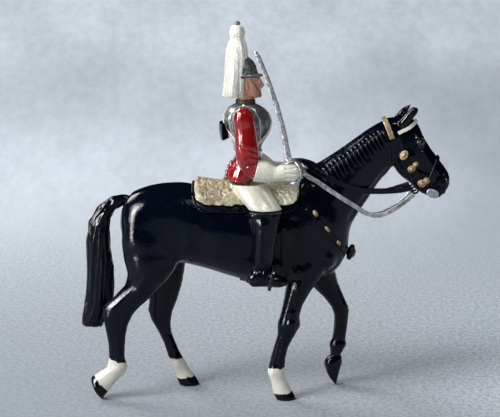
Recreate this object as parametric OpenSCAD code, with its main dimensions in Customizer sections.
// Mounted dress-uniform trooper on a walking horse, 1:32 scale, a cast and painted metal toy
// X runs forward to the horse's nose, Y to its left, Z up from the ground, all in millimetres

/* [Horse] */
// Width of the barrel behind the girth
barrel_w = 18; // [16:0.5:19]
// Width of the hindquarters
rump_w = 16.4; // [14.4:0.2:17.6]
// Width across the shoulders
chest_w = 15.2; // [13.6:0.2:16.4]
// Width of the neck halfway up
neck_w = 7.6; // [6.6:0.2:8.6]
// Width of the horse's head across the cheeks
cheek_w = 6; // [5.2:0.2:6.8]
// Width of the muzzle
muzzle_w = 4.3; // [3.6:0.1:5]
// Left and right hooves, centre to centre
stance_w = 11; // [10:0.5:12]
// Width of the cannon bones
cannon_w = 3.1; // [2.6:0.1:3.6]
// Width of the hooves
hoof_w = 4.2; // [3.6:0.1:4.8]
// Width of the tail at its fullest
tail_w = 5; // [4:0.2:5.6]
// Length of the ears
ear_l = 4.3; // [3.6:0.1:5]
// Height of the locks of the mane over the neck
mane_h = 0.55; // [0.4:0.05:0.7]

/* [Joinery] */
// Diameter of the pegs that line up the two halves of the horse
peg_d = 2.4; // [1.8:0.1:3]
// Length of those pegs
peg_l = 2.5; // [1.6:0.1:3]
// Gap round a fixed peg in its socket
peg_gap = 0.08; // [0.04:0.02:0.14]
// Gap between castings that sit on one another
seat_gap = 0.1; // [0.08:0.02:0.16]
// Diameter of the shoulder pivots
pivot_d = 2; // [1.6:0.1:2.4]
// Length of the shoulder pivots in the cuirass
pivot_l = 2.4; // [1.6:0.1:3]
// Running gap round the sword arm's pivot
pivot_gap = 0.05; // [0.02:0.01:0.09]

/* [Saddlery] */
// Length of the saddle cloth
cloth_l = 27; // [24:0.5:28]
// Thickness of the saddle cloth
cloth_t = 0.5; // [0.4:0.05:0.7]
// Height of the lower edge of the saddle cloth
cloth_z = 48.3; // [47.6:0.1:49.4]
// Length of the sheepskin
fleece_l = 25.6; // [23:0.2:26.4]
// Thickness of the sheepskin
fleece_t = 1.3; // [1:0.05:1.5]
// Height of the lower edge of the sheepskin
fleece_z = 50.6; // [50:0.1:51.6]
// Thickness of the straps
strap_t = 0.35; // [0.25:0.05:0.45]
// Width of the breast strap
strap_w = 1.3; // [1:0.1:1.6]
// Width of the girth
girth_w = 1.4; // [1.1:0.1:1.6]
// Width of the bridle straps
bridle_w = 0.9; // [0.7:0.1:1.1]
// Width of the crown strap
crown_w = 1.25; // [1:0.05:1.6]
// Width of the silver curb reins
rein_w = 1.1; // [0.9:0.1:1.4]
// Width of the black bridoon reins
bridoon_w = 1.4; // [1.1:0.1:1.7]
// Thickness of the reins
rein_t = 0.5; // [0.4:0.05:0.6]
// Drop of the left reins under the right ones
rein_drop = 1.2; // [0.6:0.1:1.4]
// Diameter of the breast boss
boss_d = 4.1; // [3.2:0.1:4.4]
// Diameter of the studs on the breast strap
stud_d = 1; // [0.8:0.1:1.2]

/* [Rider] */
// Width of the cuirass across the chest
torso_w = 12.4; // [11.4:0.2:13]
// Width of the waist
waist_w = 8.4; // [7.4:0.2:9]
// Width of the tunic skirt
skirt_w = 11.4; // [10:0.2:11.8]
// Width of the sleeves
arm_w = 4; // [3.4:0.1:4.4]
// Thickness of the thighs over the sheepskin
thigh_t = 3; // [2.4:0.1:3.4]
// Width of the boots
boot_w = 4.2; // [3.6:0.1:4.6]
// Width of the head
face_w = 6; // [5.4:0.1:6.4]
// Diameter of the neck
neck_d = 3.8; // [3.2:0.1:4.2]
// Height of the collar
collar_h = 1; // [0.7:0.1:1.1]
// Width of the helmet
helmet_w = 7.6; // [7:0.1:8]
// Width of the plume where it falls over the helmet
plume_w = 9; // [8.6:0.1:9.8]
// Diameter of the spike that carries the plume
spike_d = 1; // [0.8:0.1:1.2]
// Width of the belts
belt_w = 1.1; // [0.9:0.1:1.4]
// Thickness of the pouch
pouch_t = 1.8; // [1.4:0.1:2.2]
// Width of the gauntlet cuffs
cuff_w = 5; // [4.4:0.1:5.2]
// Width of the gloved hands
hand_w = 4.2; // [3.6:0.1:4.4]
// Width of the stirrup irons inside
stirrup_w = 4.3; // [4.1:0.1:4.8]
// Thickness of the stirrup irons
stirrup_t = 0.4; // [0.3:0.05:0.5]

/* [Sword] */
// Length of the blade
blade_l = 27.5; // [22:0.5:28]
// Width of the blade at the hilt
blade_w = 1.6; // [1.2:0.1:2]
// Thickness of the blade
blade_t = 0.7; // [0.5:0.05:0.9]
// Rise of the curve of the blade
blade_curve = 1; // [0.4:0.1:1.2]
// Lean of the sword back from upright
blade_lean = 17; // [12:0.5:20]
// Diameter of the grip
grip_d = 1.3; // [1:0.1:1.6]
// Diameter of the bowl guard
guard_d = 5.9; // [5.8:0.1:6.4]
// Diameter of the scabbard
scabbard_d = 1.4; // [1.1:0.1:1.6]

/* [Hidden] */
$fn = 32;
hoof_y = stance_w/2;
hip_y = rump_w*0.26;
elbow_y = chest_w*0.28;
cannon_r = cannon_w/2;
hoof_r = hoof_w/2;
cloth_hi = seat_gap + cloth_t;
fleece_lo = cloth_hi + seat_gap;
fleece_hi = fleece_lo + fleece_t;
thigh_lo = fleece_hi + seat_gap;
strap_hi = seat_gap + strap_t;
boot_y = barrel_w/2 + strap_hi + seat_gap + boot_w/2;
arm_gap = 0.3;
arm_y = torso_w/2 + arm_gap + arm_w/2;
hand_y = arm_y + 0.6;
pivot = [-5.1, 71.8];
fist = [6.6, 58.9];
sole_z = 31.1;
spike_x = -6.5;
neck_x = -4.6;

// Sections run from rump to poll: back x z, belly x z, half width, y
body_keys = [
    [-35.4, 49.6, -36.1, 43.4, rump_w*0.13, 0],
    [-34.2, 51.4, -34.9, 39.5, rump_w*0.33, 0],
    [-31.5, 52.9, -31.0, 36.0, rump_w*0.45, 0],
    [-27.0, 54.3, -27.0, 34.4, rump_w/2, 0],
    [-20.0, 54.8, -20.0, 34.0, rump_w*0.485, 0],
    [-13.0, 53.3, -13.0, 32.2, barrel_w*0.475, 0],
    [-6.0, 52.8, -6.0, 30.0, barrel_w/2, 0],
    [1.0, 53.2, 1.0, 29.0, barrel_w*0.49, 0],
    [8.0, 56.0, 8.0, 28.4, chest_w*0.52, 0],
    [10.8, 58.6, 14.5, 29.4, chest_w*0.49, 0],
    [12.2, 59.3, 19.2, 33.2, chest_w*0.43, 0],
    [13.8, 60.1, 21.2, 38.0, neck_w*0.76, 0],
    [16.0, 61.5, 21.5, 42.6, neck_w*0.65, 0],
    [19.0, 63.5, 23.6, 46.6, neck_w*0.56, 0],
    [22.0, 65.7, 26.1, 50.4, neck_w/2, 0],
    [25.6, 68.3, 28.8, 54.8, neck_w*0.44, 0],
    [29.4, 70.5, 31.0, 57.6, neck_w*0.4, 0],
    [32.6, 71.0, 32.6, 60.2, neck_w*0.36, 0]];

// Poll to lips: face line x z, jaw line x z, half width, y
head_keys = [
    [33.0, 71.2, 31.6, 62.0, cheek_w*0.4, 0],
    [36.3, 70.6, 32.2, 58.2, cheek_w*0.48, 0],
    [38.2, 68.6, 34.0, 56.0, cheek_w/2, 0],
    [39.3, 66.0, 36.0, 54.6, cheek_w*0.48, 0],
    [40.9, 63.6, 37.6, 53.0, cheek_w*0.42, 0],
    [42.5, 61.4, 39.0, 51.9, cheek_w*0.36, 0],
    [44.2, 59.2, 40.6, 51.2, muzzle_w*0.48, 0],
    [45.7, 57.0, 42.0, 50.4, muzzle_w/2, 0],
    [46.1, 54.8, 43.6, 50.9, muzzle_w*0.44, 0],
    [45.6, 53.2, 44.6, 52.2, muzzle_w*0.18, 0]];

// Legs from the trunk down: front x z, rear x z, half width, y
right_hind_keys = [
    [-25.0, 50.0, -31.0, 50.0, rump_w*0.13, -hip_y*0.85],
    [-22.0, 46.0, -34.0, 46.5, rump_w*0.23, -hip_y],
    [-21.0, 40.0, -35.7, 41.0, rump_w*0.24, -hip_y],
    [-21.6, 35.0, -35.1, 36.0, rump_w*0.23, -hip_y],
    [-24.5, 30.5, -34.0, 32.4, rump_w*0.2, -hoof_y*0.84],
    [-27.9, 26.6, -34.6, 29.6, cannon_r*1.75, -hoof_y*0.9],
    [-30.9, 24.0, -37.0, 27.0, cannon_r*1.4, -hoof_y*0.95],
    [-32.7, 21.9, -39.7, 24.5, cannon_r*1.22, -hoof_y],
    [-33.9, 19.4, -40.3, 22.2, cannon_r*1.2, -hoof_y],
    [-34.5, 16.8, -39.7, 18.6, cannon_r*1.12, -hoof_y],
    [-34.8, 14.0, -39.0, 14.4, cannon_r, -hoof_y],
    [-34.9, 10.6, -38.9, 11.0, cannon_r, -hoof_y],
    [-34.9, 8.2, -39.5, 8.2, cannon_r*1.14, -hoof_y],
    [-36.0, 6.2, -41.0, 7.4, cannon_r*1.1, -hoof_y],
    [-37.7, 3.8, -42.1, 6.6, cannon_r*1.14, -hoof_y],
    [-39.4, 1.7, -42.8, 5.9, cannon_r*1.1, -hoof_y]];
right_hind_hoof = [
    [-39.2, 2.3, -42.5, 6.5, hoof_r*0.9, -hoof_y],
    [-40.8, -0.2, -43.7, 5.5, hoof_r, -hoof_y]];
left_hind_keys = [
    [-24.5, 50.0, -31.0, 50.0, rump_w*0.13, hip_y*0.85],
    [-20.5, 46.0, -34.0, 46.5, rump_w*0.23, hip_y],
    [-19.5, 40.0, -35.4, 41.0, rump_w*0.24, hip_y],
    [-19.6, 35.0, -34.6, 36.0, rump_w*0.23, hip_y],
    [-20.2, 30.4, -32.6, 31.2, rump_w*0.2, hoof_y*0.84],
    [-21.0, 26.6, -30.6, 27.0, cannon_r*1.75, hoof_y*0.9],
    [-22.2, 22.8, -29.5, 23.0, cannon_r*1.4, hoof_y*0.95],
    [-23.5, 19.5, -29.8, 20.0, cannon_r*1.24, hoof_y],
    [-24.0, 16.4, -29.1, 17.6, cannon_r*1.18, hoof_y],
    [-23.7, 13.8, -27.4, 14.6, cannon_r*1.06, hoof_y],
    [-22.7, 11.2, -26.0, 11.6, cannon_r, hoof_y],
    [-21.7, 8.7, -25.0, 8.4, cannon_r, hoof_y],
    [-20.5, 6.6, -24.4, 6.0, cannon_r*1.14, hoof_y],
    [-19.3, 4.4, -23.3, 4.0, cannon_r*1.1, hoof_y],
    [-18.3, 2.9, -22.8, 2.3, cannon_r*1.18, hoof_y],
    [-17.6, 1.6, -22.3, 1.2, cannon_r*1.14, hoof_y]];
left_hind_hoof = [
    [-18.0, 2.6, -22.8, 2.0, hoof_r*0.9, hoof_y],
    [-16.4, -0.1, -21.9, -0.1, hoof_r, hoof_y]];
right_fore_keys = [
    [16.6, 42.0, 6.0, 42.0, chest_w*0.23, -elbow_y*0.85],
    [16.8, 36.0, 5.6, 36.0, chest_w*0.23, -elbow_y*0.92],
    [14.4, 31.5, 5.6, 31.5, chest_w*0.21, -elbow_y],
    [11.7, 28.0, 5.2, 28.0, cannon_r*1.7, -hoof_y*0.88],
    [9.7, 24.5, 4.6, 24.6, cannon_r*1.4, -hoof_y*0.95],
    [8.9, 21.8, 4.0, 22.0, cannon_r*1.28, -hoof_y],
    [8.8, 18.8, 3.4, 18.6, cannon_r*1.3, -hoof_y],
    [7.4, 16.2, 3.1, 16.0, cannon_r*1.14, -hoof_y],
    [6.1, 13.6, 2.4, 13.6, cannon_r, -hoof_y],
    [5.5, 11.0, 1.7, 11.0, cannon_r, -hoof_y],
    [5.3, 8.8, 1.2, 8.8, cannon_r*1.04, -hoof_y],
    [5.1, 6.9, 0.8, 7.0, cannon_r*1.16, -hoof_y],
    [5.7, 5.0, 1.7, 4.9, cannon_r*1.04, -hoof_y],
    [6.7, 3.0, 2.1, 2.6, cannon_r*1.14, -hoof_y],
    [7.4, 1.2, 2.7, 1.0, cannon_r*1.14, -hoof_y]];
right_fore_hoof = [
    [7.2, 2.1, 2.3, 1.7, hoof_r*0.9, -hoof_y],
    [8.3, -0.1, 3.1, -0.1, hoof_r, -hoof_y]];
left_fore_keys = [
    [17.6, 42.0, 6.0, 42.0, chest_w*0.23, elbow_y*0.85],
    [18.4, 36.0, 6.4, 35.0, chest_w*0.23, elbow_y*0.92],
    [18.3, 31.2, 8.5, 29.6, chest_w*0.21, elbow_y],
    [19.1, 27.6, 12.4, 26.6, cannon_r*1.65, hoof_y*0.88],
    [20.6, 24.0, 15.4, 23.6, cannon_r*1.4, hoof_y*0.95],
    [21.9, 21.0, 17.4, 21.0, cannon_r*1.3, hoof_y],
    [22.0, 18.6, 18.2, 18.8, cannon_r*1.24, hoof_y],
    [21.6, 14.8, 18.1, 14.8, cannon_r*1.02, hoof_y],
    [21.1, 11.0, 17.5, 11.2, cannon_r, hoof_y],
    [20.6, 8.4, 17.2, 8.8, cannon_r*1.04, hoof_y],
    [20.3, 6.4, 16.2, 6.9, cannon_r*1.16, hoof_y],
    [20.2, 5.0, 15.9, 5.6, cannon_r*1.14, hoof_y],
    [19.7, 3.2, 16.3, 4.5, cannon_r, hoof_y]];
left_fore_hoof = [
    [20.2, 4.9, 15.9, 5.5, hoof_r*0.86, hoof_y],
    [19.0, -0.2, 16.4, 3.4, hoof_r*0.96, hoof_y]];

// Tail from its root in the rump to its end: front x z, rear x z, half width, y
tail_keys = [
    [-32.4, 49.4, -32.2, 50.8, tail_w*0.14, 0],
    [-35.0, 48.8, -34.7, 51.6, tail_w*0.24, 0],
    [-37.2, 47.7, -37.9, 51.1, tail_w*0.3, 0],
    [-38.5, 45.4, -41.2, 48.8, tail_w*0.38, 0],
    [-38.7, 42.4, -43.6, 44.8, tail_w*0.45, 0],
    [-38.6, 38.6, -44.4, 39.8, tail_w*0.49, 0],
    [-38.1, 34.0, -44.5, 34.0, tail_w/2, 0],
    [-37.7, 28.6, -44.7, 28.4, tail_w/2, 0],
    [-38.2, 24.0, -45.3, 24.0, tail_w*0.48, 0],
    [-39.6, 20.2, -45.9, 20.4, tail_w*0.42, 0],
    [-41.2, 17.5, -46.2, 17.9, tail_w*0.36, 0]];

// Rider, from the top down: front x z, rear x z, half width, y
cuirass_keys = [
    [-2.0, 74.1, -6.9, 74.3, torso_w*0.24, 0],
    [-0.5, 73.3, -8.7, 73.4, torso_w*0.44, 0],
    [0.8, 71.9, -9.8, 71.6, torso_w/2, 0],
    [1.5, 69.7, -9.7, 69.6, torso_w*0.49, 0],
    [1.0, 66.8, -8.8, 67.0, torso_w*0.43, 0],
    [-0.4, 64.2, -7.7, 64.4, torso_w*0.37, 0],
    [-1.1, 61.9, -7.1, 61.9, waist_w/2, 0]];
skirt_keys = [
    [-1.2, 61.8 - seat_gap, -7.1, 61.8 - seat_gap, waist_w/2, 0],
    [-1.3, 60.2, -7.9, 60.0, skirt_w*0.42, 0],
    [-1.8, 58.6, -9.0, 58.2, skirt_w*0.47, 0],
    [-2.4, 57.0, -9.5, 56.6, skirt_w/2, 0],
    [-2.8, 55.3, -9.4, 55.6, skirt_w*0.49, 0]];
face_keys = [
    [-1.0, 80.8, -8.2, 80.8, face_w/2, 0],
    [-0.8, 79.6, -8.1, 79.8, face_w/2, 0],
    [-0.75, 78.2, -7.7, 78.4, face_w*0.48, 0],
    [-0.8, 76.9, -6.8, 77.3, face_w*0.41, 0],
    [-1.2, 75.9, -5.6, 76.4, face_w*0.3, 0],
    [-1.9, 75.5, -4.4, 75.9, face_w*0.16, 0]];
helmet_keys = [
    [-5.0, 86.0, -6.4, 86.0, helmet_w*0.11, 0],
    [-4.0, 85.5, -7.2, 85.5, helmet_w*0.23, 0],
    [-2.9, 84.6, -8.0, 84.6, helmet_w*0.36, 0],
    [-2.0, 83.2, -8.75, 83.2, helmet_w*0.45, 0],
    [-1.6, 82.0, -9.1, 82.0, helmet_w*0.48, 0],
    [-1.4, 80.9, -9.3, 80.9, helmet_w/2, 0]];
plume_keys = [
    [-5.9, 93.4, -7.2, 93.4, plume_w*0.08, 0],
    [-5.0, 92.9, -8.1, 92.9, plume_w*0.17, 0],
    [-4.65, 91.6, -8.5, 91.6, plume_w*0.21, 0],
    [-4.75, 90.1, -8.4, 90.1, plume_w*0.21, 0],
    [-4.4, 89.0, -8.8, 89.0, plume_w*0.28, 0],
    [-4.1, 87.4, -9.3, 87.4, plume_w*0.37, 0],
    [-4.0, 84.8, -9.6, 84.8, plume_w*0.45, 0],
    [-4.0, 82.4, -9.7, 82.4, plume_w*0.49, 0],
    [-4.0, 80.0, -9.9, 80.0, plume_w/2, 0],
    [-4.2, 77.6, -10.1, 77.6, plume_w*0.48, 0],
    [-4.6, 76.1, -10.4, 76.1, plume_w*0.44, 0]];
boot_keys = [
    [4.3, 49.3, -3.7, 49.3, boot_w*0.5, 0],
    [3.4, 46.2, -3.0, 45.8, boot_w*0.5, 0],
    [2.7, 42.0, -2.9, 42.0, boot_w*0.5, 0],
    [2.2, 38.0, -3.0, 38.0, boot_w*0.46, 0],
    [1.8, 35.4, -3.5, 34.6, boot_w*0.42, 0],
    [2.3, 34.4, -4.1, 32.4, boot_w*0.42, 0],
    [3.0, 33.8, -3.0, 31.2, boot_w*0.43, 0],
    [3.9, 33.3, 0.4, sole_z, boot_w*0.43, 0],
    [4.9, 32.7, 3.0, sole_z, boot_w*0.38, 0],
    [5.8, 32.1, 5.2, 31.4, boot_w*0.2, 0]];
sword_sleeve_keys = [
    [-4.3, 74.2, -6.1, 74.2, arm_w*0.25, -arm_y],
    [-3.0, 73.0, -7.2, 73.2, arm_w*0.45, -arm_y],
    [-2.5, 71.0, -7.6, 71.4, arm_w/2, -arm_y],
    [-2.0, 68.2, -7.2, 68.6, arm_w/2, -arm_y],
    [-1.8, 65.6, -6.9, 65.4, arm_w*0.49, -arm_y],
    [-1.6, 63.4, -6.6, 62.2, arm_w*0.48, -arm_y],
    [-1.5, 62.0, -5.8, 59.4, arm_w*0.46, -arm_y],
    [-1.6, 61.4, -4.2, 57.7, arm_w*0.44, -arm_y],
    [-1.7, 61.1, -3.1, 56.8, arm_w*0.43, -arm_y]];
bridle_sleeve_keys = [
    [-4.3, 74.2, -6.1, 74.2, arm_w*0.25, arm_y],
    [-3.0, 73.0, -7.2, 73.2, arm_w*0.45, arm_y],
    [-2.5, 71.0, -7.6, 71.4, arm_w/2, arm_y],
    [-2.3, 68.2, -7.2, 68.6, arm_w/2, arm_y],
    [-2.4, 65.6, -6.8, 65.4, arm_w*0.49, arm_y],
    [-2.4, 63.4, -6.8, 62.0, arm_w*0.48, arm_y],
    [-1.9, 62.0, -6.0, 59.4, arm_w*0.47, arm_y - 0.2],
    [-1.2, 61.2, -4.0, 57.6, arm_w*0.45, arm_y - 0.9],
    [-0.6, 60.7, -2.0, 57.0, arm_w*0.43, arm_y - 1.6]];
// Gauntlets from cuff to knuckles: top x z, bottom x z, half width, y
sword_glove_keys = [
    [-1.45, 61.6, -2.8, 56.3, cuff_w/2, -arm_y],
    [0.8, 61.3, 0.2, 56.0, cuff_w*0.48, -arm_y - 0.1],
    [2.2, 60.4, 2.0, 56.3, cuff_w*0.41, -arm_y - 0.3],
    [3.1, 60.2, 3.1, 56.5, hand_w*0.46, -hand_y],
    [4.5, 61.0, 4.6, 56.5, hand_w/2, -hand_y],
    [6.4, 61.2, 6.7, 56.5, hand_w/2, -hand_y],
    [7.9, 60.4, 8.0, 57.2, hand_w*0.4, -hand_y],
    [8.6, 59.4, 8.6, 58.2, hand_w*0.2, -hand_y]];
bridle_glove_keys = [
    [-0.3, 60.9, -1.7, 56.6, cuff_w*0.48, arm_y - 1.75],
    [1.3, 59.9, 0.5, 56.1, cuff_w*0.46, arm_y - 2.3],
    [2.8, 58.6, 2.4, 55.7, cuff_w*0.38, arm_y - 2.9],
    [4.2, 58.4, 4.0, 55.4, hand_w*0.46, arm_y - 3.2],
    [6.0, 58.5, 5.9, 55.9, hand_w*0.45, arm_y - 3.4],
    [7.2, 58.0, 7.1, 56.6, hand_w*0.28, arm_y - 3.5]];

// Bridle straps and bosses on the side of the head: x z
cheek_path = [[33.4, 65.6], [34.2, 62.2], [36.4, 59.2], [38.0, 56.6], [39.3, 55.0]];
boss_spots = [[34.3, 61.9, 0.95], [36.6, 59.0, 0.85], [39.3, 55.0, 0.75]];
// Breast strap from the saddle to the middle of the chest: section, angle
breast_path = [[8.55, 64], [9.0, 76], [9.4, 88], [9.8, 102], [10.25, 122], [10.6, 148], [10.8, 180]];
breast_loop = concat(breast_path, [for (i = [len(breast_path) - 2 : -1 : 0]) [breast_path[i][0], 360 - breast_path[i][1]]]);

// Curve through the keys, u counted in keys
function spline_at(keys, u) = let(
    last = len(keys) - 1,
    i = max(0, min(floor(u), last - 1)),
    s = u - i,
    a = keys[max(i - 1, 0)],
    b = keys[i],
    c = keys[i + 1],
    d = keys[min(i + 2, last)])
    0.5*(2*b + (c - a)*s + (2*a - 5*b + 4*c - d)*s*s + (3*b - a - 3*c + d)*s*s*s);
function smooth(keys, steps) = [for (k = [0 : (len(keys) - 1)*steps]) spline_at(keys, k/steps)];
function unit(v) = v/norm(v);
function mirrored(keys) = [for (k = keys) [for (i = [0 : len(k) - 1]) i == 5 ? -k[i] : k[i]]];

// Point of a section: angle 0 on its first rail, 90 on its left, 180 on its second rail
function on_section(k, t, grow = 0) = let(
    a = [k[0], k[1]],
    b = [k[2], k[3]],
    half = (a - b)/2,
    p = (a + b)/2 + half*(1 + grow/norm(half))*cos(t))
    [p[0], k[5] + (k[4] + grow)*sin(t), p[1]];
function ring(k, sides, grow = 0) = [for (j = [0 : sides - 1]) on_section(k, 360*j/sides, grow)];

// Half width of a smoothed loft where its side view covers x z, and 0 outside it
function off_line(k, x, z) = (k[0] - k[2])*(z - k[3]) - (k[1] - k[3])*(x - k[2]);
function along_line(k, x, z) = let(d = [k[0] - k[2], k[1] - k[3]])
    2*((x - k[2])*d[0] + (z - k[3])*d[1])/(d*d) - 1;
function half_width(rows, x, z) = max([0, for (i = [0 : len(rows) - 2]) let(
    p = off_line(rows[i], x, z),
    q = off_line(rows[i + 1], x, z))
    if (p*q <= 0 && p != q) let(
        k = rows[i] + (rows[i + 1] - rows[i])*p/(p - q),
        v = along_line(k, x, z))
        if (abs(v) < 1) k[4]*sqrt(1 - v*v)]);
body_rows = smooth(body_keys, 2);
head_rows = smooth(head_keys, 2);
function horse_y(x, z) = max(half_width(body_rows, x, z), half_width(head_rows, x, z));
function spot_y(x, z, r) = max([horse_y(x, z), for (a = [0 : 45 : 315]) horse_y(x + r*cos(a), z + r*sin(a))]);

// Solids from point grids, turned the right way out by their volume
function quad(a, b, c, d) = [[a, b, c], [a, c, d]];
function six_volume(p, f) = let(v = [for (t = f) p[t[0]]*cross(p[t[1]], p[t[2]])]) v*[for (x = v) 1];
function flipped(f) = [for (t = f) [t[2], t[1], t[0]]];
module closed(points, faces) {
    polyhedron(points = points, faces = six_volume(points, faces) > 0 ? flipped(faces) : faces, convexity = 6);
}
function wall_faces(m, n, wrap) = [for (i = [0 : wrap ? m - 1 : m - 2], j = [0 : n - 1])
    each quad(i*n + j, i*n + (j + 1) % n, ((i + 1) % m)*n + (j + 1) % n, ((i + 1) % m)*n + j)];

// Solid through rings of equal count, with flat ends
module tube(rings) {
    m = len(rings);
    n = len(rings[0]);
    ends = [for (j = [1 : n - 2]) each [[0, j + 1, j], [(m - 1)*n, (m - 1)*n + j, (m - 1)*n + j + 1]]];
    closed([for (r = rings) each r], concat(wall_faces(m, n, false), ends));
}

// Solid through rings that come back to the first one
module hoop(rings) {
    closed([for (r = rings) each r], wall_faces(len(rings), len(rings[0]), true));
}

module loft(keys, sides, steps, grow = 0) {
    tube([for (k = smooth(keys, steps)) ring(k, sides, grow)]);
}

// Sheet between an outer and an inner grid of points
module sheet(outer, inner) {
    m = len(outer);
    n = len(outer[0]);
    rim = concat([for (j = [0 : n - 1]) j], [for (i = [1 : m - 1]) i*n + n - 1],
        [for (j = [n - 2 : -1 : 0]) (m - 1)*n + j], [for (i = [m - 2 : -1 : 1]) i*n]);
    skin = [for (i = [0 : m - 2], j = [0 : n - 2]) each quad(i*n + j, i*n + j + 1, (i + 1)*n + j + 1, (i + 1)*n + j)];
    lining = [for (t = skin) [t[2] + m*n, t[1] + m*n, t[0] + m*n]];
    edge = [for (i = [0 : len(rim) - 1]) let(a = rim[i], b = rim[(i + 1) % len(rim)])
        each quad(b, a, a + m*n, b + m*n)];
    closed(concat([for (r = outer) each r], [for (r = inner) each r]), concat(skin, lining, edge));
}

// Point off the skin of a loft, square to it, at a section and an angle
function skin(keys, u, t) = on_section(spline_at(keys, u), t);
function off_skin(keys, u, t, lift) = let(
    along = skin(keys, u + 0.05, t) - skin(keys, u - 0.05, t),
    round = skin(keys, u, t + 2) - skin(keys, u, t - 2))
    skin(keys, u, t) + lift*unit(cross(along, round));

// Rings of a flat strap laid on a loft along section, angle pairs
function strap_rings(keys, path, width, lo, hi, wrap = false) = let(
    n = len(path),
    under = [for (p = path) off_skin(keys, p[0], p[1], lo)],
    over = [for (p = path) off_skin(keys, p[0], p[1], hi)])
    [for (i = [0 : n - 1]) let(
        ahead = over[wrap ? (i + 1) % n : min(i + 1, n - 1)],
        behind = over[wrap ? (i + n - 1) % n : max(i - 1, 0)],
        side = unit(cross(ahead - behind, over[i] - under[i]))*width/2)
        [under[i] - side, under[i] + side, over[i] + side, over[i] - side]];
module strap(keys, path, width, lo, hi) {
    tube(strap_rings(keys, smooth(path, 2), width, lo, hi));
}

// Flat strip through points that each carry the way its face looks
module strip(path, width, thick) {
    rows = smooth(path, 2);
    n = len(rows);
    tube([for (i = [0 : n - 1]) let(
        a = rows[max(i - 1, 0)],
        b = rows[min(i + 1, n - 1)],
        run = unit([b[0] - a[0], b[1] - a[1], b[2] - a[2]]),
        side = unit(cross(run, [rows[i][3], rows[i][4], rows[i][5]])),
        out = cross(side, run),
        p = [rows[i][0], rows[i][1], rows[i][2]],
        w = side*width/2,
        h = out*thick/2)
        [p - w - h, p + w - h, p + w + h, p - w + h]]);
}

module swell(a, ra, b, rb) {
    hull() {
        translate(a) sphere(r = ra, $fn = 10);
        translate(b) sphere(r = rb, $fn = 10);
    }
}

module hoof(keys) {
    hull() tube([ring(keys[0], 12), ring(keys[1], 12)]);
}

// One side of the horse, s = -1 on the right and 1 on the left, before the two are parted
module horse_side(s, hind, hind_hoof, fore, fore_hoof, knee, hock, ear) {
    loft(body_keys, 18, 2);
    loft(head_keys, 16, 2);
    if (s < 0) mane();
    loft(hind, 12, 1);
    loft(fore, 12, 1);
    hoof(hind_hoof);
    hoof(fore_hoof);
    swell([ear[0], s*cheek_w*0.3, ear[1]], 0.9, [ear[0] + ear_l*0.36, s*cheek_w*0.34, ear[1] + ear_l*0.4], 0.95);
    swell([ear[0] + ear_l*0.36, s*cheek_w*0.34, ear[1] + ear_l*0.4], 0.95,
        [ear[0] + ear_l*0.73, s*cheek_w*0.36, ear[1] + ear_l*0.78], 0.25);
    swell([37.5, s*cheek_w*0.36, 65.7], 0.75, [38.5, s*cheek_w*0.33, 64.2], 0.6);
    swell([44.1, s*muzzle_w*0.33, 55.5], 0.75, [44.8, s*muzzle_w*0.31, 54.2], 0.6);
    swell([15.2, s*chest_w*0.27, 36.2], 3, [11.6, s*chest_w*0.26, 42], 3.2);
    swell([knee[0], s*hoof_y, knee[1]], cannon_r*1.16, [knee[0] - 0.5, s*hoof_y, knee[1] - 2], cannon_r*1.06);
    swell([hock[0], s*hoof_y, hock[1]], cannon_r*0.66, [hock[0] + 2.6, s*hoof_y, hock[1] - 3.2], cannon_r);
}

// Locks of the mane that fall from the crest over the right of the neck
locks = 17;
function mane_grid(lift, ripple) = [for (i = [0 : 2*locks]) [for (q = [0 : 3]) let(
    edge = (q == 0 || q == 3) ? 0 : 1,
    tip = min(1, i/4, (2*locks - i)/4))
    off_skin(body_keys, 10.9 + 4.75*i/(2*locks) + 0.22*q, -11 - 8*q,
        (lift + ripple*(i % 2))*edge*tip - 0.15*(1 - edge*tip))]];
module mane() sheet(mane_grid(mane_h*0.3, mane_h*0.7), mane_grid(-0.6, 0));

module half_space(s) {
    translate([-80, s < 0 ? -40 : 0, 0]) cube([160, 40, 120]);
}

peg_spots = [[-25, 45], [3, 43], [18, 54]];

module horse_right_half() color("#15161c") {
    difference() {
        intersection() {
            horse_side(-1, right_hind_keys, right_hind_hoof, right_fore_keys, right_fore_hoof,
                [7.1, 19.6], [-39.2, 23.6], [33.7, 69.6]);
            half_space(-1);
        }
        loft(tail_keys, 14, 1, seat_gap);
        for (p = peg_spots) translate([p[0], 1, p[1]]) rotate([90, 0, 0])
            cylinder(h = peg_l + peg_gap + 1, d = peg_d + 2*peg_gap);
    }
}

module horse_left_half() color("#15161c") {
    difference() {
        intersection() {
            horse_side(1, left_hind_keys, left_hind_hoof, left_fore_keys, left_fore_hoof,
                [20.4, 19.8], [-28.9, 20.4], [32.95, 70.3]);
            half_space(1);
        }
        loft(tail_keys, 14, 1, seat_gap);
    }
    for (p = peg_spots) translate([p[0], 1, p[1]]) rotate([90, 0, 0]) cylinder(h = peg_l + 1, d = peg_d);
}

module tail() color("#15161c") loft(tail_keys, 14, 1);

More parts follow.
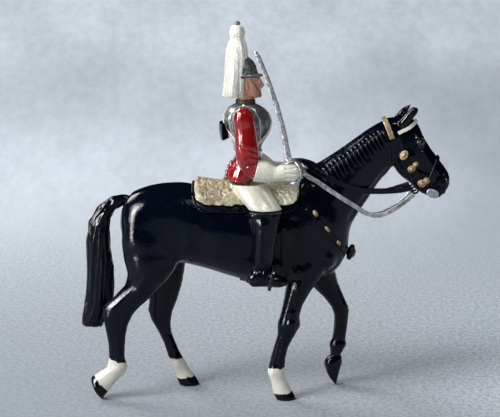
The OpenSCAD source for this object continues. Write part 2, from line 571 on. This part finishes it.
// Grid over the back between two ends, down to a rounded lower edge
function barrel_key(x) = spline_at(body_keys, 4 + (x + 20)/7);
function lap_angle(x, z, grow) = let(k = barrel_key(x))
    acos(max(-1, min(1, (2*z - k[1] - k[3])/(k[1] - k[3] + 2*grow))));
function hem(x, mid, length, z, corner) = let(d = max(0, abs(x - mid) - length/2 + corner))
    z + corner - sqrt(max(0, corner*corner - d*d));
function rounded(d) = 1 - sqrt(1 - pow(1 - min(1, d), 2));
function blanket(mid, length, z, corner, grow, rim = 0) = [for (i = [0 : 10]) let(
    x = mid - length/2*cos(18*i),
    lap = lap_angle(x, hem(x, mid, length, z, corner), grow))
    [for (j = [-5 : 5]) on_section(barrel_key(x), lap*j/5,
        grow - rim*max(rounded((length/2 - abs(x - mid))/1.5), rounded(5 - abs(j))))]];

module saddle_cloth() color("#202127")
    sheet(blanket(-4.4, cloth_l, cloth_z, 4, cloth_hi), blanket(-4.4, cloth_l, cloth_z, 4, seat_gap));

module sheepskin() color("#dccfae")
    sheet(blanket(-4.3, fleece_l, fleece_z, 3, fleece_hi, fleece_t*0.55),
        blanket(-4.3, fleece_l, fleece_z, 3, fleece_lo));

module girth() color("#202127") {
    u = 4 + (4.6 + 20)/7;
    top = lap_angle(4.6, cloth_z, seat_gap) + 4;
    strap(body_keys, [for (t = [0 : 8]) [u, top + (360 - 2*top)*t/8]], girth_w, seat_gap, strap_hi);
}

module breast_strap() color("#202127") strap(body_keys, breast_loop, strap_w, seat_gap, strap_hi);

module breast_studs() color("#c99a3a") {
    for (u = [1, 2.6, 4, 8, 9.4, 11]) {
        p = spline_at(breast_loop, u);
        translate(off_skin(body_keys, p[0], p[1], strap_hi + seat_gap + stud_d/2)) sphere(d = stud_d);
    }
}

module breast_boss() color("#c99a3a")
    translate(off_skin(body_keys, 10.8, 180, strap_hi + seat_gap)) rotate([0, 107, 0]) {
        cylinder(h = 0.8, d1 = boss_d*0.9, d2 = boss_d);
        translate([0, 0, 0.7]) cylinder(h = 0.8, d1 = boss_d*0.8, d2 = boss_d*0.4);
    }

module bridle_crown() color("#c99a3a")
    strap(body_keys, [[16.4, -80], [16.2, -54], [16.05, -27], [16, 0], [16.05, 27], [16.2, 54], [16.4, 80]],
        crown_w, seat_gap, strap_hi);

module browband() color("#efece4")
    strap(head_keys, [[0.22, -80], [0.55, -66], [0.95, -50], [1.3, -25], [1.4, 0], [1.3, 25], [0.95, 50], [0.55, 66], [0.22, 80]],
        bridle_w, seat_gap, strap_hi);

module noseband() color("#202127")
    strap(head_keys, [for (t = [-150 : 30 : 150]) [5.2, t]], bridle_w, seat_gap, strap_hi);

// Straps down the side of the head, laid against the cheek
module cheek_strap(s) {
    rows = smooth(cheek_path, 2);
    n = len(rows);
    runs = [for (i = [0 : n - 1]) unit(rows[min(i + 1, n - 1)] - rows[max(i - 1, 0)])];
    function at(i, e, h) = let(x = rows[i][0] - runs[i][1]*e, z = rows[i][1] + runs[i][0]*e)
        [x, s*(horse_y(x, z) + h), z];
    w = bridle_w/2;
    sheet([for (i = [0 : n - 1]) [at(i, -w, strap_hi), at(i, w, strap_hi)]],
        [for (i = [0 : n - 1]) [at(i, -w, seat_gap), at(i, w, seat_gap)]]);
}

module cheek_straps() color("#202127") {
    cheek_strap(-1);
    cheek_strap(1);
}

// Disc that stands off the side of the head
module side_disc(s, x, z, r, lift, h) {
    translate([x, s*(spot_y(x, z, r) + lift), z]) rotate([s < 0 ? 90 : -90, 0, 0]) cylinder(h = h, r = r);
}

module bridle_bosses() color("#c99a3a") {
    for (s = [-1, 1], b = boss_spots) side_disc(s, b[0], b[1], b[2], strap_hi + seat_gap, 0.45);
}

module curb_bit() color("#b9bcc2") {
    for (s = [-1, 1]) {
        y = s*(max(spot_y(42, 52.2, 1), spot_y(41, 52.5, 0.9)) + seat_gap + strap_hi);
        translate([0, y, 0]) rotate([s < 0 ? 90 : -90, 0, 0]) linear_extrude(0.45) hull() {
            translate([42, s < 0 ? 52.1 : -52.1]) circle(r = 1);
            translate([41, s < 0 ? 52.5 : -52.5]) circle(r = 0.95);
        }
    }
}

ring_spot = [37.3, 52.9];
ring_y = spot_y(37.3, 52.9, 1) + seat_gap + 0.25;
module bit_rings() color("#202127") {
    for (s = [-1, 1]) translate([ring_spot[0], s*ring_y, ring_spot[1]]) rotate([90, 0, 0])
        rotate_extrude() translate([0.8, 0]) circle(r = 0.25, $fn = 16);
}

// Rein points: x, z, least y, lean of its face towards up
function rein_keys(s, spots, grow) = [for (p = spots) let(
    y = spot_y(p[0], p[1], bridoon_w/2),
    r = p[3] > 0 ? p[2] : -max(y > 0 ? y + grow : 0, -p[2]))
    [p[0], s < 0 ? r : -r, p[1], 0, (s < 0 ? -1 : 1)*(1 - p[3]), p[3]]];
rein_off = seat_gap*2 + rein_t/2;
rein_y = -(ring_y + 0.25 + seat_gap + rein_t/2);
curb_spots = [[37.0, 51.9, rein_y, 0], [35.2, 50.4, rein_y, 0], [33.0, 49.0, -3.3, 0], [30.0, 47.3, -3.4, 0],
    [27.4, 46.8, -3.5, 0], [25.0, 47.5, -3.6, 0], [22.0, 49.6, -4, 0], [18.6, 51.9, -4, 0], [15.0, 54.3, -4.4, 0],
    [12.4, 56.0, -5, 0]];
bridoon_spots = [[36.3, 53.7, rein_y, 0], [34.0, 53.3, -3.3, 0], [31.0, 53.0, -3.2, 0], [28.0, 52.9, -3, 0],
    [25.0, 53.1, -3, 0], [21.5, 54.1, -3, 0], [18.0, 55.5, -3, 0], [15.0, 56.9, -3.6, 0], [12.6, 58.2, -4.2, 0]];
function lowered(spots) = let(n = len(spots) - 1) [for (i = [0 : n])
    spots[i] - [0, rein_drop*min(1, i/2, (n - i)/2), 0, 0]];
// Ends of the reins at the bridle hand, to which the right ones cross the withers
rein_end = arm_y - 3.5;
curb_right = concat(curb_spots, [[10.6, 57, -5.4, 0.2], [9.5, 58, -4.4, 0.5], [8.8, 58.8, -2, 0.8],
    [8.7, 58.9, 0.6, 1], [8.5, 57.9, rein_end - 1.7, 1]]);
bridoon_right = concat(bridoon_spots, [[11, 59.1, -3.8, 0.3], [10, 59.9, -2.2, 0.7], [9.1, 60.1, -0.4, 1],
    [8.4, 60, 1.6, 1], [7.4, 59.4, rein_end - 1, 1]]);
curb_left = concat(lowered(curb_spots), [[10.6, 56.9, -5.1, 0.1], [9, 57.1, -rein_end, 0.2], [8, 57, -rein_end, 0.2]]);
bridoon_left = concat(lowered(bridoon_spots), [[10.8, 58.9, -4.6, 0.2], [9, 59.2, -rein_end, 0.3], [7.6, 59.1, -rein_end, 0.4]]);

module right_curb_rein() color("#b9bcc2") strip(rein_keys(-1, curb_right, rein_off), rein_w, rein_t);
module left_curb_rein() color("#b9bcc2") strip(rein_keys(1, curb_left, rein_off), rein_w, rein_t);
module right_bridoon_rein() color("#202127") strip(rein_keys(-1, bridoon_right, rein_off), bridoon_w, rein_t);
module left_bridoon_rein() color("#202127") strip(rein_keys(1, bridoon_left, rein_off), bridoon_w, rein_t);

module tunic_skirt() color("#a81f24") loft(skirt_keys, 18, 2);

// Thigh bent round the sheepskin, s = -1 on the right
function thigh_grid(s, thick, top) = [for (i = [0 : 5]) let(
    q = i/5,
    z = top + (49.4 + seat_gap - top)*q,
    rear = -8.4 + 4.6*q,
    front = 0.6 + 3.5*q)
    [for (j = [0 : 9]) let(
        x = (rear + front)/2 - (front - rear)/2*cos(20*j),
        g = thigh_lo + thick*max(0.14, sin(20*j)),
        p = on_section(barrel_key(x), lap_angle(x, z, g), g))
        [p[0], s*p[1], p[2]]]];
module thigh(s) {
    sheet(thigh_grid(s, thigh_t, 55.1), thigh_grid(s, 0, 53.8));
}
module right_thigh() color("#efece4") thigh(-1);
module left_thigh() color("#efece4") thigh(1);

module right_jackboot() color("#17181d") translate([0, -boot_y, 0]) loft(boot_keys, 14, 1);
module left_jackboot() color("#17181d") translate([0, boot_y, 0]) loft(boot_keys, 14, 1);

// Iron hung under the sole, its top leaning forward
module stirrup() {
    translate([0.7, 0, sole_z - seat_gap - stirrup_t]) rotate([0, 14, 0]) rotate([90, 0, 90]) linear_extrude(0.8)
        difference() {
            union() {
                translate([0, 2.6 + stirrup_t]) circle(d = stirrup_w + 2*stirrup_t);
                translate([-stirrup_w/2 - stirrup_t, 0]) square([stirrup_w + 2*stirrup_t, 2.6 + stirrup_t]);
            }
            translate([0, 2.6 + stirrup_t]) circle(d = stirrup_w);
            translate([-stirrup_w/2, stirrup_t]) square([stirrup_w, 2.6]);
        }
}
module right_stirrup() color("#b9bcc2") translate([0, -boot_y, 0]) stirrup();
module left_stirrup() color("#b9bcc2") translate([0, boot_y, 0]) stirrup();

module spurs() color("#b9bcc2") {
    for (s = [-1, 1]) translate([0, s*boot_y, 0]) {
        strap(boot_keys, [for (t = [100 : 32 : 260]) [5, t]], 0.7, seat_gap, strap_hi);
        translate([-4.3, 0, 32.55]) rotate([0, -80, 0]) cylinder(h = 1.7, d = 0.6);
    }
}

// Body armour with its two shoulder sockets and the neck socket
module cuirass() color("#b9bcc2") {
    difference() {
        loft(cuirass_keys, 20, 2);
        translate([pivot[0], -torso_w, pivot[1]]) rotate([-90, 0, 0])
            cylinder(h = torso_w/2 + pivot_l + pivot_gap, d = pivot_d + 2*pivot_gap);
        translate([pivot[0], torso_w, pivot[1]]) rotate([90, 0, 0])
            cylinder(h = torso_w/2 + pivot_l + pivot_gap, d = pivot_d + 2*peg_gap);
        translate([neck_x, 0, 72.2]) cylinder(h = 4, d = neck_d*0.8 + 2*peg_gap);
    }
}

module waist_belt() color("#efece4")
    hoop(strap_rings(cuirass_keys, [for (t = [0 : 15 : 345]) [5.72, t]], belt_w, seat_gap, strap_hi, true));

// From the left shoulder to the right hip, front and back
module cross_belt() color("#efece4")
    hoop(strap_rings(cuirass_keys, [for (t = [0 : 15 : 345]) [2.95 - 2.15*sin(t), t]], belt_w, seat_gap, strap_hi,
        true));

function pouch_grid(thick) = [for (q = [0 : 0.2 : 1]) [for (t = [153 : 9 : 207])
    off_skin(cuirass_keys, 2.85 + 1.4*q, t, strap_hi + seat_gap + thick*(0.42 + 0.9*q - 0.3*q*q))]];
module pouch() color("#17181d") sheet(pouch_grid(pouch_t), pouch_grid(0));

module collar() color("#c99a3a") translate([neck_x, 0, 74.3 + seat_gap]) difference() {
    cylinder(h = collar_h, d1 = neck_d + 1.2, d2 = neck_d + 0.8);
    translate([0, 0, -1]) cylinder(h = collar_h + 2, d = neck_d + 2*peg_gap);
}

module rider_head() color("#d9a98a") {
    loft(face_keys, 16, 2);
    translate([neck_x, 0, 74.4]) cylinder(h = 3, d = neck_d);
    translate([neck_x, 0, 72.4]) cylinder(h = 3, d = neck_d*0.8);
    translate([-5, 0, 79.8]) cylinder(h = 2.6, d = pivot_d);
    hull() {
        translate([-0.95, 0, 79.9]) sphere(r = 0.3, $fn = 8);
        translate([-0.4, 0, 78.7]) sphere(r = 0.45, $fn = 8);
        translate([-1, 0, 78.4]) sphere(r = 0.6, $fn = 8);
    }
}

module chin_chain() color("#c99a3a")
    strap(face_keys, [[0.25, -78], [1.2, -62], [2.3, -46], [3.3, -28], [3.75, 0], [3.3, 28], [2.3, 46],
        [1.2, 62], [0.25, 78]], 0.7, seat_gap*0.8, seat_gap*0.8 + 0.3);

module helmet() color("#b9bcc2") {
    difference() {
        union() {
            loft(helmet_keys, 18, 1);
            translate([-2.45, 0, 80.9]) cylinder(h = 0.45, r = 2.15);
        }
        translate([-5, 0, 80]) cylinder(h = 2.6, d = pivot_d + 2*peg_gap);
        translate([spike_x, 0, 84.2]) cylinder(h = 4, d = spike_d + 2*peg_gap);
    }
}

module plume_spike() color("#3a3b40") translate([spike_x, 0, 0]) {
    translate([0, 0, 84.3]) cylinder(h = 9.3, d = spike_d);
    translate([0, 0, 93.5 + seat_gap]) cylinder(h = 0.6, d1 = spike_d*1.5, d2 = spike_d*0.7);
}

module plume() color("#e9e7e0") {
    difference() {
        loft(plume_keys, 18, 1);
        loft(concat(helmet_keys, [helmet_keys[5] - [0, 0.3, 0, 0.3, 0, 0]]), 18, 1, seat_gap);
        loft(face_keys, 16, 1, seat_gap);
        translate([neck_x, 0, 70]) cylinder(h = 8, d = neck_d + 4*seat_gap);
        translate([spike_x, 0, 80]) cylinder(h = 20, d = spike_d + 2*peg_gap);
    }
}

module sleeve_peg(s) {
    translate([pivot[0], s*arm_y, pivot[1]]) rotate([s < 0 ? -90 : 90, 0, 0])
        cylinder(h = arm_w/2 + arm_gap + pivot_l, d = pivot_d);
}

// Along the bridle arm's forearm
module wrist_peg(h, d) {
    translate([-1.9, arm_y - 1.4, 59.1]) rotate([0, 111, -21]) cylinder(h = h, d = d);
}

module bridle_arm() color("#a81f24") {
    loft(bridle_sleeve_keys, 14, 1);
    sleeve_peg(1);
    wrist_peg(3.3, pivot_d);
}

module bridle_gauntlet() color("#efece4") {
    difference() {
        loft(bridle_glove_keys, 12, 2);
        wrist_peg(3.5, pivot_d + 2*peg_gap);
    }
}

// Hangs behind the left leg from the hip
module scabbard() color("#b9bcc2") {
    hip = skirt_w/2 + 0.6;
    low = barrel_w/2 + 1.4;
    path = smooth([[-6.4, hip, 58.3], [-8.3, hip*0.6 + low*0.4, 56.0], [-10.0, hip*0.25 + low*0.75, 52.7],
        [-11.8, low, 49], [-14.2, low, 44], [-17, low, 38.5], [-19.2, low, 33.8]], 2);
    n = len(path);
    tube([for (i = [0 : n - 1]) let(
        run = unit(path[min(i + 1, n - 1)] - path[max(i - 1, 0)]),
        a = unit(cross(run, [0, 1, 0])),
        b = cross(run, a))
        [for (t = [0 : 45 : 315]) path[i] + scabbard_d/2*(a*cos(t)*1.25 + b*sin(t)*0.8)]]);
}

module sword_arm() color("#a81f24") {
    loft(sword_sleeve_keys, 14, 1);
    sleeve_peg(-1);
    translate([-3.4, -arm_y, 59]) rotate([0, 90, 0]) cylinder(h = 3.2, d = 2.2);
}

module on_grip() {
    translate([fist[0], -hand_y, fist[1]]) rotate([0, -blade_lean, 0]) children();
}

module sword_gauntlet() color("#efece4") {
    difference() {
        loft(sword_glove_keys, 12, 2);
        translate([-5, -arm_y, 59]) rotate([0, 90, 0]) cylinder(h = 5, d = 2.2 + 2*peg_gap);
        on_grip() translate([0, 0, -6]) cylinder(h = 12, d = grip_d + 2*peg_gap);
        on_grip() translate([0, 0, -guard_d/2 - 0.6]) cylinder(h = 1.2, r = 1.65);
        on_grip() translate([0, 0, guard_d/2 - 0.58]) cylinder(h = 2, r = 2.05);
    }
}

// Blade in the frame of the grip: front x z, rear x z, half thickness, y
blade_keys = [for (q = [1, 0.985, 0.94, 0.75, 0.5, 0.25, 0]) let(
    x = 4*blade_curve*q*(1 - q),
    z = guard_d/2 - 0.3 + blade_l*q,
    w = blade_w/2*(q > 0.99 ? 0.3 : q > 0.96 ? 0.6 : 1 - 0.26*q))
    [x + w, z, x - w, z, blade_t/2*(1 - 0.4*q), 0]];

// Bowl in front of the knuckles
function guard_grid(r) = [for (b = [-75 : 25 : 75]) [for (a = [-45 : 15 : 45])
    r*[cos(b)*cos(a), cos(b)*sin(a), sin(b)]]];

module sword() color("#c3c6cb") on_grip() {
    loft(blade_keys, 10, 1);
    translate([0, 0, -guard_d/2 + 0.2]) cylinder(h = guard_d - 0.5, d = grip_d);
    translate([0, 0, -guard_d/2 - 0.1]) sphere(d = grip_d*1.5);
    sheet(guard_grid(guard_d/2), guard_grid(guard_d/2 - 0.3));
    translate([0, 0, guard_d/2 - 0.5]) cylinder(h = 0.5, r1 = 1.9, r2 = 1.3);
    translate([0, 0, 0.1 - guard_d/2]) cylinder(h = 0.4, r = 1.5);
}

horse_right_half();
horse_left_half();
tail();
saddle_cloth();
sheepskin();
girth();
breast_strap();
breast_studs();
breast_boss();
bridle_crown();
browband();
noseband();
cheek_straps();
bridle_bosses();
curb_bit();
bit_rings();
right_bridoon_rein();
left_bridoon_rein();
right_curb_rein();
left_curb_rein();
tunic_skirt();
right_thigh();
left_thigh();
right_jackboot();
left_jackboot();
right_stirrup();
left_stirrup();
spurs();
cuirass();
waist_belt();
cross_belt();
pouch();
collar();
rider_head();
chin_chain();
helmet();
plume();
plume_spike();
bridle_arm();
bridle_gauntlet();
scabbard();
sword_arm();
sword_gauntlet();
sword();
